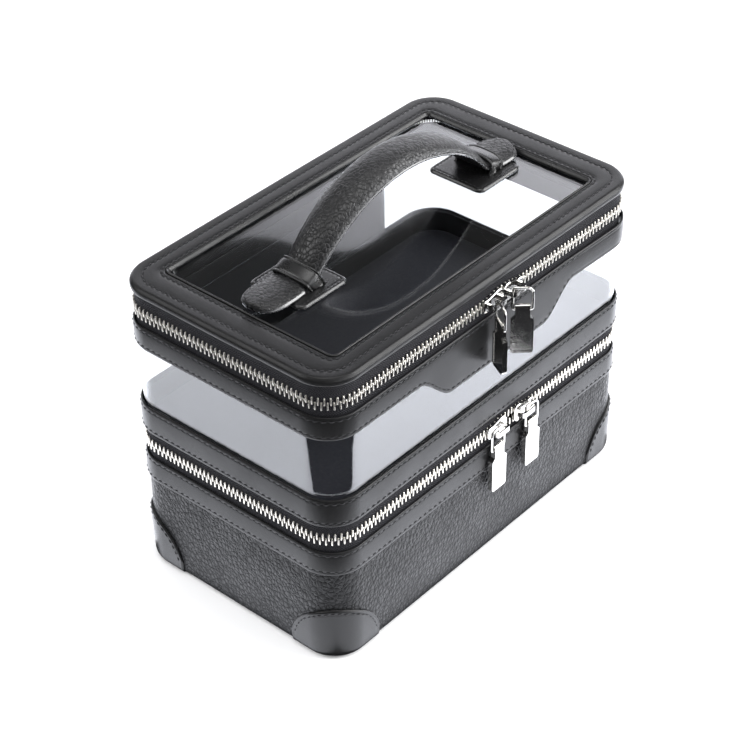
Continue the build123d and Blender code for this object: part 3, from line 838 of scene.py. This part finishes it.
def lid_lining():
    """The cloth under the border."""
    points, normals, _ = OUTLINE
    edge, rim = window_edge(), points - normals * 2.0
    grid = stacked([(rim, 173.4), (rim + normals * 0.1, 173.25), (rim, 173.05), (edge, 173.05),
                    (edge - normals * 0.15, 173.25), (edge, 173.4)])
    piece("lid_under_cloth", grid, sweep_faces(*grid.shape[:2], True), LINING, "lid", "lid_lining")


# Handle

def strap_path():
    """Stations along the strap, from tip to tip: x, z, tilt, breadth and thickness."""
    left, foot_x = [], HANDLE_X - FOOT_OFFSET
    for s in np.arange(0, foot_x - TIPS[0], 1.0):
        grow = math.sqrt(max(0, 1 - (1 - min(1, s / 13)) ** 2))
        waist = max(0, min(1, (s - 20) / 14))
        left.append((TIPS[0] + s, STRAP_Z, 0.0, 4 + 19.5 * grow - 2.5 * waist, 3.6 + grow))
    for a in np.arange(0, FOOT_ANGLE, 1 / FOOT):
        left.append((foot_x + FOOT * math.sin(a), STRAP_Z + FOOT * (1 - math.cos(a)), a, 21, 4.6))
    for a in np.arange(FOOT_ANGLE, 0, -1 / ARCH):
        share = (a / FOOT_ANGLE) ** 2
        left.append((HANDLE_X - ARCH * math.sin(a), CROWN_Z - ARCH * (1 - math.cos(a)), a,
                    24 - 3 * share, 8 - 3.4 * share))
    right = np.array(left)[::-1] * (-1, 1, -1, 1, 1)
    right[:, 0] += 2 * HANDLE_X
    foot_x, tip = HANDLE_X + FOOT_OFFSET, 2 * HANDLE_X - TIPS[0]
    right[:, 0] += (TIPS[1] - tip) * np.clip((right[:, 0] - foot_x) / (tip - foot_x), 0, 1)
    return np.r_[left, [(HANDLE_X, CROWN_Z, 0.0, 24, 8)], right]


def strap_rings(stations, section_of):
    """The rings of a section of (across, up) along the strap."""
    rings = []
    for x, z, tilt, broad, thick in stations:
        y, h = np.array(section_of(broad, thick)).T
        rings.append(np.c_[x - h * math.sin(tilt), y, z + h * math.cos(tilt)])
    return np.array(rings)


def strap_top(share, thick):
    """The height of the padded top, at 0 in the strap's middle to 1 at its edge."""
    welt = np.minimum(WELT, thick * 0.3)
    return welt + 0.35 - thick / 2 + (thick - welt - 0.35) * (1 - share ** 2.6) ** 0.75


def strap_section(broad, thick):
    """Padded leather over a flat underside, with a stitched welt along both edges."""
    half, low = broad / 2, -thick / 2
    y = half * np.linspace(1, -1, 33)[1:-1]
    dome = strap_top(np.abs(y) / half, thick) - 0.35 * np.exp(-((half - np.abs(y) - EDGE_SEAM) / 0.45) ** 2)
    rim = low + min(WELT, thick * 0.3)
    under = [(-half + 0.3, low), (0, low), (half - 0.3, low), (half - 0.02, low + 0.3), (half, rim)]
    return np.r_[under, np.c_[y, dome], [(-half, rim), (-half + 0.02, low + 0.3)]]


def strap_edge(side):
    """The painted edge: a rounded strip that covers one raw side of the strap."""
    def section(broad, thick):
        tall = min(2.3, thick * 0.5)
        ring = [(-0.6, -0.05), (-0.1, 0), (0.3, 0.35), (0.4, tall * 0.4)]
        ring += [(0.3 - t, tall * (0.5 + 0.5 * t)) for t in (0, 0.33, 0.67, 1)] + [(-1.0, tall * 0.9)]
        return [(side * (broad / 2 + y), h - thick / 2) for y, h in ring][::side]
    return section


def seam(stations, side, label):
    """Stitches along one edge of the strap."""
    x, z, tilt, broad, thick = stations.T
    up = np.stack([-np.sin(tilt), 0 * tilt, np.cos(tilt)], 1)
    height = strap_top(1 - EDGE_SEAM / (broad / 2), thick) - 0.3
    path = np.stack([x, side * (broad / 2 - EDGE_SEAM), z], 1) + up * height[:, None]
    at = stops(path, FINE_PITCH, 2.5)
    spots, ways = spots_on(path, at, closed=False)
    lean = read_at(at, runs_of(path), up) + (0, side * 0.8, 0)
    lean = unit(lean - ways * np.sum(lean * ways, 1)[:, None])
    stitches(f"handle_stitches_{label}", spots, ways, lean, "lid", **FINE_THREAD)


def handle():
    stations = strap_path()
    rings = strap_rings(stations, strap_section)
    obj = piece("handle_leather", rings, sweep_faces(*rings.shape[:2], False), STRAP, "lid", "handle_strap")
    for side, label in FACES:
        rings = strap_rings(stations, strap_edge(side))
        piece(f"handle_edge_{label}", rings, sweep_faces(*rings.shape[:2], False), EDGE, "lid")
    for side, label in FACES:
        seam(stations, side, label)
    for side, label in ENDS:
        patch(side, label)
        keeper(side, label)


def patch(side, label):
    """A thick stitched leather patch that carries one end of the handle."""
    points, normals, _ = plan(17, 18, 4, 1.2, 0.5)
    points = points + (HANDLE_X + side * 68, 0)
    section = np.array([(0.35, 174.62), (0.0, 174.8), (-0.1, 175.3), (-0.05, 175.6), (0.2, 175.9),
                        (0.5, 176.2), (0.8, 176.5), (1.1, 176.66), (1.7, 176.6), (2.3, 176.42),
                        (2.7, 176.55), (3.2, 176.6), (3.9, 176.62)])
    grid = swept(points, normals, *section.T)
    piece(f"patch_{label}", grid, capped_faces(*grid.shape[:2]), GLOSSY, "lid", f"handle_patch_{label}")
    path = stacked([(points - normals * 2.1, 176.5)])[:, 0]
    path = np.r_[path, path[:1]]
    spots = spots_on(path, stops(path, FINE_PITCH, even=True), 0.3)
    stitches(f"patch_{label}_stitches", *spots, UP, "lid", **FINE_THREAD)


def keeper(side, label):
    """A leather loop over the strap, its two edges folded into raised welts with a groove inside each."""
    turn = FOOT_ANGLE * (0.5 if side < 0 else 0.2)
    cos, sin = math.cos(turn), math.sin(turn)
    middle = (HANDLE_X + side * (FOOT_OFFSET - FOOT * sin), 0, STRAP_Z + FOOT * (1 - cos))
    axes = np.array([(cos, 0, -side * sin), (0, 1, 0), (side * sin, 0, cos)])
    half, top = 10.8, 3.6
    angle = np.linspace(-1, 1, 41)[1:-1] * math.pi / 2
    arch = np.c_[half * np.sign(np.sin(angle)) * np.abs(np.sin(angle)) ** 0.8, top * np.cos(angle) ** 0.66]
    legs = [(half, -3.0), (half, -6.0), (half, -9.0)]
    path = np.r_[[(-y, h) for y, h in reversed(legs)], arch, legs]
    ways = unit(np.gradient(path, axis=0))
    outs = np.c_[-ways[:, 1], ways[:, 0]]
    welt = [(-5, 0.15), (-4.95, 0.9), (-4.7, 1.35), (-4.3, 1.5), (-3.9, 1.4), (-3.6, 1.05), (-3.4, 0.95),
            (-3.1, 1.15), (-2.6, 1.25), (-1.3, 1.3)]
    profile = welt + [(0, 1.32)] + [(-along, lift) for along, lift in reversed(welt)] + [(4.7, 0), (-4.7, 0)]
    local = np.zeros((len(path), len(profile), 3))
    local[:, :, 0], lift = np.array(profile).T
    local[:, :, 1:] = path[:, None] + outs[:, None] * lift[:, None]
    rings = middle + local @ axes
    rings[:, :, 2] = np.maximum(rings[:, :, 2], PATCH_TOP + 0.05)
    faces = turned(sweep_faces(*rings.shape[:2], False))
    piece(f"keeper_loop_{label}", rings, faces, GLOSSY, "lid", f"keeper_{label}")


def lid():
    lid_leather()
    window_bead()
    window_sheet()
    lid_lining()
    handle()


# Pulls

PULLS = (
    ("lower_left", 7.1, LOWER_ZIP, 180),
    ("lower_right", 25.1, LOWER_ZIP, 0),
    ("upper_left", -2.1, UPPER_ZIP, -117),
    ("upper_right", 10.8, UPPER_ZIP, -47),
)


def bail(name, leg_x, zip_z, heading):
    """A round wire loop from pin to pin, through the crown and over it."""
    rise, drop, wide, pin, wire = 2.55, -10, 10.1, 2.85, 0.7
    corners = [((0, drop), 1.0), ((0, rise), 1.2), ((wide, rise), 3.2), ((wide, drop), 1.0)]
    ends = (pin, drop), (wide - pin, drop)
    line = np.array([ends[0], *(corner for corner, _ in corners), ends[1]], float)
    path = [line[0]]
    for i, (corner, radius) in enumerate(corners):
        a, b = unit(line[[i, i + 2]] - line[i + 1])
        turn = np.linspace(0, math.pi / 2, 9)[:, None]
        path += list(corner + (a + b) * radius - b * radius * np.cos(turn) - a * radius * np.sin(turn))
    path = np.array(path + [line[-1]])
    ways = unit(np.gradient(path, axis=0))
    turn = math.radians(heading)
    along = np.array([math.cos(turn), math.sin(turn), 0])
    out = np.array([along[1], -along[0], 0])
    centres = np.array([leg_x, BAIL_Y, zip_z]) + path[:, :1] * along + path[:, 1:] * UP
    sides = -ways[:, 1:] * along + ways[:, :1] * UP
    turn = np.linspace(0, 2 * math.pi, 14, endpoint=False)[:, None]
    rings = centres[:, None] + sides[:, None] * wire * np.cos(turn) + out * wire * np.sin(turn)
    faces = sweep_faces(*rings.shape[:2], False)
    piece(f"bail_wire_{name}", rings, faces, METAL, f"bail_{name}", f"bail_{name}")


def dress_cad(name, mat):
    """Gives a CAD node its material, without touching its mesh."""
    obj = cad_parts[name]
    obj.data.materials.clear()
    obj.data.materials.append(mat)
    return obj


def pulls():
    for name, leg_x, zip_z, heading in PULLS:
        bail(name, leg_x, zip_z, heading)
        for kind, width in (("slider", 0.00022), ("pull_tab", 0.0003)):
            soft = dress_cad(f"{kind}_{name}", METAL).modifiers.new("edges", "BEVEL")
            soft.width = width
            soft.segments = 2
            soft.limit_method = "ANGLE"
            soft.angle_limit = math.radians(40)
            soft.harden_normals = False
    for name in ("base_board", "tier_floor_board", "lid_board"):
        dress_cad(name, BOARD)


# Stage, lights and camera

def card(name, points, mat, faces=None):
    """A flat piece of the stage, from millimetres."""
    mesh = bpy.data.meshes.new(name)
    mesh.from_pydata((np.array(points, float) * MM).tolist(), [], faces or [tuple(range(len(points)))])
    mesh.materials.append(mat)
    obj = placed(name, mesh)
    return obj


def mirrored_card(name, points, mat, faces=None):
    """A card that only reflections see."""
    obj = card(name, points, mat, faces)
    obj.visible_camera = False
    obj.visible_diffuse = False
    obj.visible_transmission = False
    obj.visible_shadow = False
    obj.visible_volume_scatter = False


def level(points, z):
    return [(x, y, z) for x, y in points]


def emission(name, colour, strength=1.0):
    look = Look(name)
    return look.surface(look.node("ShaderNodeEmission", Color=(*colour, 1), Strength=strength))


def glow(name, colour, way, span, strengths):
    """Emission that grows along a direction, for a card that only reflections see."""
    look = Look(name)
    along = look.node("ShaderNodeVectorMath", look.point, 0, operation="DOT_PRODUCT")
    along.inputs[1].default_value = way
    grown = look.ramp(along.outputs["Value"], *span, *strengths)
    return look.surface(look.node("ShaderNodeEmission", grown, "Strength", Color=(*colour, 1)))


def floor_material():
    look = Look("floor")
    for key, value in (("Base Color", (0.86, 0.86, 0.87, 1)), ("Roughness", 0.9),
                       ("Specular IOR Level", 0.1), ("Emission Color", (1, 1, 1, 1)),
                       ("Emission Strength", 0.14)):
        look.shader.inputs[key].default_value = value
    return look.mat


def stage():
    wide = [(-4000, -4000), (4000, -4000), (4000, 4000), (-4000, 4000)]
    card("floor", level(wide, 0), floor_material()).visible_glossy = False
    mirrored_card("dark_floor", level(wide, -1), emission("dark_floor", DARK_ROOM))
    # A bright table top that only reflections see. It ends to the left and in front, and is cut back to a
    # notch toward the camera, so the front corner mirrors the dark room.
    table = [(900, GLOW_FRONT), (900, 900), (GLOW_LEFT, 900), (GLOW_LEFT, -18), GLOW_NOTCH,
             (-72, GLOW_FRONT)]
    shine = glow("table_glow", (0.915, 0.935, 1.0), (0.75, -0.66, 0), (-0.15, 0.25), (3.4, 4.55))
    mirrored_card("table_glow", level(table, 0.6), shine)
    # The dark contact line: a narrow ring under the bag's edge, in which nothing bright is mirrored.
    signs = ((-1, -1), (1, -1), (1, 1), (-1, 1), (-1, -1))
    ring = [(x * (LENGTH / 2 + grow), y * (WIDTH / 2 + grow))
            for grow, turns in ((1, signs), (-7, signs[::-1])) for x, y in turns]
    mirrored_card("contact_shade", level(ring, 0.7), emission("contact_shade", DARK_ROOM))
    # A thin bright arc across the notch, seen as the light line under the dark stripe on the clear corner.
    arc = [(-101 + radius * math.cos(math.radians(turn)), -51.5 + radius * math.sin(math.radians(turn)))
           for radius, turns in ((146, range(165, 286, 5)), (138, range(285, 164, -5))) for turn in turns]
    mirrored_card("table_arc", level(arc, 0.8), emission("table_arc", (0.94, 0.96, 1.0), 3.2))
    # A low white wall to the front right, which the leather's soft gloss picks up.
    wall = [(100, -950, 0), (1300, -350, 0), (1300, -350, 170), (100, -950, 170)]
    mirrored_card("low_wall", wall, emission("low_wall", (0.96, 0.97, 1.0), 16.0))
    # A strip in front, which draws the light line along the strap's painted edge.
    strip = [(620, -1020, 500), (70, -1050, 500), (-600, -1100, 180),
             (550, -920, 900), (60, -950, 950), (-600, -1050, 620)]
    mirrored_card("front_strip", strip, emission("front_strip", (0.96, 0.97, 1.0), 4.5),
                  [(0, 1, 4, 3), (1, 2, 5, 4)])
    # A white board behind, seen in the window's upper half.
    edge = [(-1500, 200), (1500, 200), (1500, 1150), (171, 1157), (142, 1139), (102, 1123), (71, 1117),
            (48, 1122), (22, 1134), (2, 1149), (-16, 1166), (-39, 1189), (-56, 1200), (-79, 1197),
            (-114, 1190), (-143, 1184), (-179, 1178), (-209, 1178), (-234, 1185), (-251, 1200), (-1500, 1200)]
    way_x, way_y, far = 0.754, 0.657, 1500
    board = [(way_x * far + way_y * x, way_y * far - way_x * x, z) for x, z in edge]
    shine = glow("back_glow", (0.94, 0.94, 1.0), (way_y * 0.5, -way_x * 0.5, -1), (-1.28, -0.88), (1.2, 3.5))
    mirrored_card("back_glow", board, shine)


def area(name, place, target, size, power):
    data = bpy.data.lights.new(name, "AREA")
    data.shape = "RECTANGLE"
    data.size, data.size_y = size
    data.energy = power
    obj = placed(name, data)
    obj.location = place
    obj.rotation_euler = (Vector(target) - Vector(place)).to_track_quat("-Z", "Y").to_euler()


def lights():
    """Three soft lights and a room that is white to the camera and dim to the rest."""
    area("key", (0.8, -0.95, 0.78), (0, 0, 0.1), (0.8, 0.8), 24)
    area("fill", (-1.0, 0.88, 1.05), (0, 0, 0.1), (0.8, 0.8), 9)
    area("top", (-0.15, -0.1, 1.6), (0, 0, 0.1), (1.2, 1.2), 16)
    room = Look("studio", bpy.data.worlds.new("studio"))
    sight = room.node("ShaderNodeLightPath").outputs
    back = room.tree.nodes["Background"]
    back.inputs["Color"].default_value = (1, 1, 1, 1)
    seen = room.math("MULTIPLY", sight["Is Camera Ray"], 0.97)
    spread = room.math("MULTIPLY", sight["Is Diffuse Ray"], 0.62)
    room.link(room.math("ADD", room.math("ADD", seen, spread), 0.08), back.inputs["Strength"])
    bpy.context.scene.world = room.mat
    bpy.context.scene.view_settings.view_transform = "Standard"


def camera():
    """The photograph's camera, by its heading, its fall, its roll and the place that it looks at."""
    az, el, roll = math.radians(-48.96), math.radians(36.67), math.radians(-0.68)
    back = np.array([math.sin(az) * math.cos(el), -math.cos(az) * math.cos(el), math.sin(el)])
    right = np.array([math.cos(az), math.sin(az), 0])
    up = np.cross(back, right)
    place = np.array([0, 0, 0.090]) + back * 1.116
    sensor, side, focal, centre = 36, 750, 2119.5, (386.24, 362.74)
    data = bpy.data.cameras.new("photo_camera")
    data.sensor_width = sensor
    data.lens = focal / side * sensor
    data.shift_x = -(centre[0] - side / 2) / side
    data.shift_y = (centre[1] - side / 2) / side
    data.clip_start = 0.05
    obj = placed("photo_camera", data)
    across = right * math.cos(roll) + up * math.sin(roll)
    upward = up * math.cos(roll) - right * math.sin(roll)
    obj.matrix_world = Matrix([*np.stack([across, upward, back, place], 1).tolist(), (0, 0, 0, 1)])
    bpy.context.scene.camera = obj


camera()
base()
zips()
tier()
lid()
pulls()
stage()
lights()
